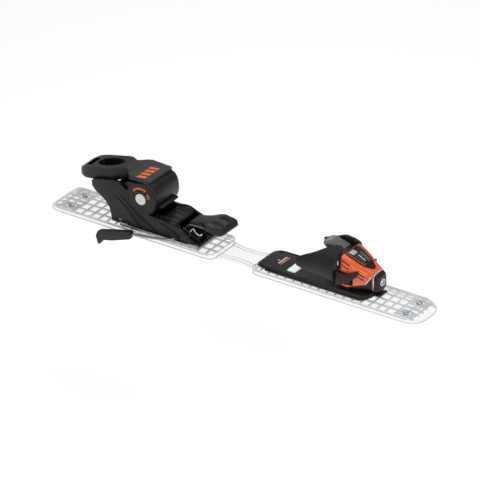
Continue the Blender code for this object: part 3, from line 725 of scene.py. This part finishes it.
heelShape = {
    "axle": (-162.0, 63.0), "wall": 30.0, "rimOuter": 25.3, "rimInner": 23.2, "rimRise": 0.55,
    "hubOuter": 12.4, "hubInner": 10.6, "inkRise": 0.14,
    "tickAngles": (138, 126, 114, 102, 90, 78, 66), "tick": (15.4, 18.8, 2.1),
    "markEnds": ((38, 17.2), (27, 17.2), (16, 15.6)), "pocket": (-236.0, 21.0, 13.5),
    "thumb": (-273.0, 98.0, 17.6), "stripes": 4, "stripePitch": 10.6, "stripeWidth": 6.4, "stripeSlant": 4.0,
    "stripeStart": -28.0, "stripeRear": -171.6, "stripeFront": -158.4}
creases = [  # path in X and Z, half widths along it, height
    ([(-213, 57), (-203, 51.5), (-190, 42), (-176, 30), (-163, 19), (-154, 13)],
     (1.0, 3.4, 4.8, 5.2, 3.8, 1.2), 1.5),
    ([(-201, 61), (-189, 52), (-175, 41), (-156, 29), (-138, 19.5), (-127, 14.5)],
     (1.0, 3.2, 4.8, 5.0, 3.6, 1.2), 1.5),
    ([(-138, 36), (-124, 32.5), (-109, 27.5), (-95, 21.5), (-86, 17)], (1.0, 2.8, 3.6, 3.0, 1.0), 1.1)]

cheekLine = [(-92, 12.6), (-91.5, 22), (-86, 26), (-79, 25), (-73, 20.5), (-67, 18), (-63, 12.6)]
platformArm = [(-94, 13), (-94, 32), (-84, 27.5), (-74, 22.5), (-66, 19), (-66, 13)]


def dialBar(centre, angle, inner, outer, width):
    # short bar pointing at the dial's centre
    turn = math.radians(angle)
    out = Vector((math.cos(turn), math.sin(turn)))
    across = Vector((-math.sin(turn), math.cos(turn))) * width / 2
    middle = Vector(centre)
    return [tuple(middle + out * inner - across), tuple(middle + out * outer - across),
            tuple(middle + out * outer + across), tuple(middle + out * inner + across)]


def buildCarriage():
    s = heelShape
    finishedNode("heel_carriage", 1.2)
    relief = []
    for side in (1, -1):
        low, high = sorted((side * (s["wall"] - 0.5), side * (s["wall"] + s["rimRise"])))
        relief.append(ringSolid("Y", s["axle"], low, high, s["rimOuter"], s["rimInner"]))
        relief.append(ringSolid("Y", s["axle"], low, high, s["hubOuter"], s["hubInner"]))
        for path, widths, crest in creases:
            fine = smoothLine([point + (width,) for point, width in zip(path, widths)], 4)
            line, spread = [(x, z) for x, z, w in fine], [w for x, z, w in fine]
            relief.append(ridge(line, spread, s["wall"], crest, side))
        boss = turned("Y", (-100.0, 17.5), [(29.4, 5.4), (31.3, 5.4), (31.9, 4.7)], 40)
        relief.append(boss if side > 0 else flipped(boss))
        relief.append(eased(prism("Y", smoothLine(cheekLine, 4), side * 29.2, side * 31.0), 0.7, 3))
        relief.append(eased(prism("Y", platformArm, side * 17.2, side * 21.4), 0.9, 3))
        loop = smoothLine([(-131, side * 24, 37.5), (-125, side * 24, 41.2), (-113, side * 24, 42.6),
                           (-103, side * 24, 39.5), (-95, side * 25.8, 32.5)], 5)
        relief.append(tube(loop, 1.3, 14))
        for place in (7.0, 15.5):
            y = side * place
            rib = smoothLine([(-131, y, 38.0), (-118, y, 37.2), (-105.5, y, 35.4)], 4)
            relief.append(tube(rib, 1.5, 12))
    showPiece("carriageRelief", merged(*relief), finishes["black_nylon"], nodeBodies["heel_carriage"], ())
    bars = [dialBar(s["axle"], angle, *s["tick"]) for angle in s["tickAngles"]]
    bars += [dialBar(s["axle"], angle, 12.9, outer, 1.5) for angle, outer in s["markEnds"]]
    marks = [film(bar, side * s["wall"], side * s["inkRise"], "Y") for side in (1, -1) for bar in bars]
    showPiece("dialMarks", merged(*marks), inks["orange"], nodeBodies["heel_carriage"], ())


def buildJaw():
    finishedNode("heel_jaw", 1.4, None, 4)
    finishedNode("heel_tread", 1.0)


def leverHeight(x):
    # top of the cover, which rises slowly towards the rear
    return 96.3 + (-166.0 - x) * 0.037 if x < -166.0 else 95.5 + (-147.5 - x) * 0.0432


def buildLever():
    s = heelShape
    solid = nodeSolid("heel_lever")
    x, a, b = s["pocket"]
    rim = [(x + a * math.cos(t), b * math.sin(t)) for t in [2 * math.pi * i / 56 for i in range(56)]]
    flare = loft([[(x + (p - x) * k, q * k, z) for p, q in rim]
                  for k, z in ((1.0, 80.0), (1.0, 86.0), (1.16, 98.0))])
    slot = prism("Z", [(x + 3 + (p - x) * 0.62, q * 0.5) for p, q in rim], 75.5, 90.0)
    thumbX, thumbZ, reach = s["thumb"]
    thumb = turned("Y", (thumbX, thumbZ), [(-13.0, reach), (13.0, reach)], 96)
    solid = eased(combined("DIFFERENCE", solid, flare, slot, thumb), 2.2, 4, 28.0)
    body = nodeBodies["heel_lever"]
    showPiece("heelLever", solid, finishes["black_nylon"], body, ["heel_lever"])
    prints = []
    rear, front, slant, width = s["stripeRear"], s["stripeFront"], s["stripeSlant"], s["stripeWidth"]
    for k in range(s["stripes"]):
        y = s["stripeStart"] + s["stripePitch"] * k
        bar = [(rear, y), (front, y + slant), (front, y + slant + width), (rear, y + width)]
        prints.append(laidOn(film(bar, 0.0, 0.16), leverHeight))
    showPiece("leverPrint", merged(*prints), inks["orange"], body, ())


brakeShape = {
    "wire": 2.15, "springWire": 1.1, "groove": 2.4,
    "route": [  # left wire, from the pedal through its pivot to the pad
        (-60.0, 12.0, 36.7), (-84.0, 12.0, 35.5), (-92.0, 13.0, 29.0), (-98.0, 15.5, 20.5),
        (-100.0, 19.5, 17.5), (-100.0, 36.3, 17.5), (-103.5, 40.0, 17.0), (-115.0, 42.0, 15.4),
        (-140.0, 43.0, 12.0), (-168.0, 43.0, 8.0), (-183.0, 43.0, 4.2)],
    "hook": [  # bright spring, in X and Z
        (-80.0, 17.5), (-79.5, 27.0), (-76.0, 34.5), (-73.0, 36.5),
        (-70.0, 33.0), (-66.0, 30.0), (-61.0, 29.5), (-57.5, 33.5)], "hookY": -23.0}


def buildBrake():
    s = brakeShape
    pedal = nodeSolid("brake_pedal")
    pedal = eased(pedal, 1.6, 4)
    grooves = []
    for side in (1, -1):
        line = [(-50.0, side * 9.0, 50.2), (-42.0, side * 9.0, 50.0), (-31.0, side * 8.5, 48.6)]
        grooves.append(tube(smoothLine(line, 4), s["groove"], 16))
    strip = tube([(-22.6, -19.0, 45.8), (-22.6, 19.0, 45.8)], 1.1, 14)
    showPiece("brakePedal", combined("DIFFERENCE", pedal, *grooves, strip), finishes["black_nylon"],
              nodeBodies["brake_pedal"], ["brake_pedal"])
    for hand, side in (("Left", 1), ("Right", -1)):
        path = smoothLine([(x, side * y, z) for x, y, z in s["route"]], 6)
        node = "brake_wire_" + hand.lower()
        showPiece("brakeWire" + hand, tube(path, s["wire"], 20), finishes["steel"], nodeBodies[node], [node])
        finishedNode("brake_pad_" + hand.lower(), 1.8, padFinish, 4)
    hook = smoothLine([(x, s["hookY"], z) for x, z in s["hook"]], 6)
    showPiece("brakeSpring", tube(hook, s["springWire"], 16), finishes["bright_steel"],
              nodeBodies["brake_spring"], ["brake_spring"])
    finishedNode("brake_strut", 0.5)


buildCarriage()
buildJaw()
buildLever()
buildBrake()
for node, width in {"heel_track": 0.5, "heel_size_lever": 0.7, "axle_cap_left": 0.5, "axle_cap_right": 0.5,
                    "heel_release_screw": 0.3}.items():
    finishedNode(node, width)
print("heel unit built")


# toe unit

toeShape = {
    "springZ": 34.0, "bore": 8.5, "pin": (197.0, 20.0), "pinHole": 2.9, "baseTop": 15.8, "inkRise": 0.14,
    "arm": [(172.0, 22.0), (172.0, 30.5), (177.0, 31.5), (177.5, 24.0), (203.0, 25.0), (203.0, 14.5),
            (185.0, 14.5)],
    "armLow": 30.0, "armHigh": 45.5}
housingStations = [  # X, half width, underside, top
    (181.0, 22.5, 22.0, 72.0), (187.0, 25.5, 21.0, 72.5), (198.0, 25.5, 19.6, 68.5),
    (212.0, 22.5, 19.6, 61.5), (225.0, 18.0, 20.0, 55.0), (236.0, 14.5, 21.0, 50.5)]
wingStations = [  # X, lower and upper edge, |Y| at foot, middle and head, wall
    (118.5, 42.0, 54.5, 38.5, 39.2, 37.8, 2.4), (128.0, 38.5, 59.7, 37.5, 39.5, 35.5, 3.8),
    (142.0, 35.5, 66.0, 35.5, 39.0, 32.5, 4.4), (158.0, 33.5, 75.0, 34.0, 38.0, 27.0, 4.6),
    (170.0, 32.0, 81.0, 33.5, 37.0, 21.0, 4.6), (179.5, 31.0, 82.0, 33.0, 35.5, 18.0, 4.6)]
wingEnd = [(180.3, 48.5, 82.0, 33.4, 35.4, 18.0, 4.6), (185.5, 52.5, 79.5, 32.2, 33.8, 19.0, 4.4)]


def wingSection(x, low, high, foot, middle, head, wall):
    outer = []
    for i in range(19):
        t = i / 18
        y = foot * (1 - t) * (1 - 2 * t) + 4 * middle * t * (1 - t) + head * t * (2 * t - 1)
        outer.append((x, y, low + (high - low) * t))
    return outer + [(x, y - wall, z) for x, y, z in reversed(outer)]


def buildWings():
    s = toeShape
    for hand, side in (("Left", 1), ("Right", -1)):
        shell = loft([wingSection(*station) for station in smoothLine(wingStations, 4) + wingEnd])
        shell = eased(shell, 1.1, 3, 40.0)
        arm = eased(prism("Z", s["arm"], s["armLow"], s["armHigh"]), 0.6, 2)
        hole = turned("Z", s["pin"], [(20.0, s["pinHole"]), (60.0, s["pinHole"])], 32)
        solid = combined("DIFFERENCE", combined("UNION", shell, arm), hole)
        if side < 0:
            solid = flipped(solid)
        node = "wing_" + hand.lower()
        showPiece("wing" + hand, solid, finishes["soft_black"], nodeBodies[node], [node])


def buildHousing():
    s = toeShape
    rings = [[(x, y, z) for y, z in roundedSection(width, low, high, 7.0, 8)]
             for x, width, low, high in smoothLine(housingStations, 5)]
    x, y = s["pin"]
    tools = [turned("X", (0.0, s["springZ"]), [(187.5, s["bore"]), (245.0, s["bore"])])]
    for side in (1, -1):
        reach = sorted((side * 9.8, side * 40.0))
        tools.append(prism("X", rectangle(reach[0], 27.0, reach[1], 46.5), 170.0, 207.5))
        tools.append(turned("Z", (x, side * y), [(15.0, s["pinHole"]), (60.5, s["pinHole"])], 32))
    shell = eased(combined("DIFFERENCE", loft(rings), *tools), 0.9, 3)
    body = nodeBodies["toe_housing"]
    return showPiece("toeHousing", shell, finishes["orange_shell"], body, ["toe_housing"])


def slanted(x, z, length, rise, width):
    return [(x, z), (x + length, z + rise), (x + length, z + rise + width), (x, z + width)]


housingMarks = {
    "slashes": [  # X, Z, length, rise, width
        (210.0, 50.0, 15.0, -7.5, 2.6), (212.0, 43.5, 12.0, -6.0, 2.2),
        (190.0, 64.5, 13.0, -6.5, 2.6), (189.0, 57.8, 12.0, -6.0, 2.2), (184.5, 57.5, 3.0, -1.2, 2.6),
        (184.5, 53.0, 3.0, -1.2, 1.4), (197.0, 31.5, 6.0, -4.5, 2.6), (205.5, 26.5, 6.0, -3.0, 2.2),
        (228.0, 43.0, 4.0, -7.0, 2.2)],
    "corner": [(181.4, 47.0), (186.5, 50.0), (189.0, 72.0), (181.4, 72.0)],
    # painted highlights: pale lines along the orange shell where its gloss catches the lamps
    "lines": [
        (203.5, 60.6, 25.0, -11.6, 0.9), (206.5, 56.2, 20.0, -9.2, 0.7), (186.0, 50.4, 11.0, -0.6, 0.8),
        (200.0, 28.0, 16.0, 5.0, 0.8)],
    "foot": [(236.4, 47.5), (225.5, 32.0), (212.0, 28.6), (200.0, 24.5), (192.0, 20.6), (236.4, 21.6)],
    "edge": [(235.9, 49.6), (225.0, 33.2), (225.6, 32.0), (235.9, 47.4)],
    "band": [(181.4, -21.0), (188.5, -21.0), (188.5, 21.0), (181.4, 21.0)],
    "tip": [(221.5, -9.6), (227.5, -6.4), (231.5, 0.0), (227.5, 6.4), (221.5, 9.6)]}


def printHousing(shell):
    # abstract race-style stripes, pale lines that are painted highlights along the shell's curves, and the
    # black foot with its bright edge
    s = housingMarks
    tree = surfaceTree(shell)
    shapes = [slanted(*slash) for slash in s["slashes"]] + [s["corner"]]
    lines = [slanted(*line) for line in s["lines"]]
    dark, pale, black, bright = [], [], [], []
    for side in (1, -1):
        dark += [printedOn(tree, shape, side) for shape in shapes]
        pale += [printedOn(tree, line, side, 0.17) for line in lines]
        black.append(printedOn(tree, s["foot"], side, 0.35))
        bright.append(printedOn(tree, s["edge"], side, 0.45, 1.2))
    black += [printedOn(tree, s[name], 1, 0.2, 1.6, "Z") for name in ("band", "tip")]
    body = nodeBodies["toe_housing"]
    showPiece("housingPrint", merged(*dark), inks["dark"], body, ())
    showPiece("housingLines", merged(*pale), inks["sand"], body, ())
    showPiece("housingFoot", merged(*black), finishes["black_nylon"], body, ())
    showPiece("housingEdge", merged(*bright), finishes["bright_steel"], body, ())


panelEdge = [(190.6, 14.2), (198.0, 15.1), (212.0, 12.7), (221.0, 10.2),
             (221.0, 9.4), (212.0, 11.9), (198.0, 14.3), (190.6, 13.4)]


def printPanel():
    panel = finishedNode("toe_top_panel", 0.45, finishes["soft_black"])
    tree = surfaceTree(panel)
    blocks = [slanted(192.0, low, 7.5, 1.2, width) for low, width in ((-10.6, 3.4), (-5.6, 2.6), (-1.4, 1.6))]
    blocks += [rectangle(203.0 + 2.6 * i, -3.0, 204.6 + 2.6 * i, -1.0 + (i % 2)) for i in range(5)]
    ticks = [slanted(202.0 + 3.0 * i, -9.0, 2.2, 3.0, 0.7) for i in range(6)]
    ticks += [rectangle(201.5, 3.5 + 2.2 * i, 219.0 - 2.0 * i, 4.3 + 2.2 * i) for i in range(3)]
    edges = [[(x, side * y) for x, y in panelEdge] for side in (1, -1)]
    for name, shapes, ink, slotName in (("panelBlocks", blocks, "white", "white_pad"),
                                        ("panelTicks", ticks, "grey", "grey_cap"),
                                        ("panelEdge", edges, "orange", "orange_shell")):
        films = [printedOn(tree, shape, 1, 0.12, 1.6, "Z") for shape in shapes]
        showPiece(name, merged(*films), inks[ink], nodeBodies["toe_top_panel"], ())


def buildBase():
    finishedNode("toe_base", 1.1, finishes["soft_black"], 4)
    finishedNode("afd_pad", 0.6)
    body, level, rise = nodeBodies["toe_base"], toeShape["baseTop"], toeShape["inkRise"]
    rails = []
    for side in (1, -1):
        line = [(48.0, side * 24.5, level), (60.0, side * 27.0, level), (95.0, side * 27.8, level),
                (130.0, side * 27.8, level + 0.2)]
        rails.append(tube(smoothLine(line, 6), 0.9, 12))
        for x in (58.0, 71.0):
            tab = prism("X", rectangle(side * 26.0, 10.6, side * 31.2, 13.2), x, x + 8.0)
            rails.append(eased(tab, 0.6, 2))
    showPiece("baseRelief", merged(*rails), finishes["black_nylon"], body, ())
    marks = [film(rectangle(66.4, -8.0 + 4.6 * i, 69.6, -4.8 + 4.6 * i), level, rise) for i in range(5)]
    marks.append(film(rectangle(61.4, -1.2, 64.2, 1.4), level, rise))
    showPiece("baseMark", merged(*marks), inks["white"], body, ())
    line = film(rectangle(71.4, -9.0, 73.6, 15.0), level, rise)
    showPiece("baseLine", line, inks["orange"], body, ())


buildBase()
buildWings()
toeShell = buildHousing()
printHousing(toeShell)
printPanel()
finishedNode("toe_lip", 1.8, smokeFinish, 4)
for node, width in {"housing_trim": 0.5, "front_cap": 1.2, "toe_guard_left": 0.7, "toe_guard_right": 0.7,
                    "toe_track": 0.4, "toe_size_lever": 0.6, "toe_release_screw": 0.35}.items():
    finishedNode(node, width)
print("toe unit built")
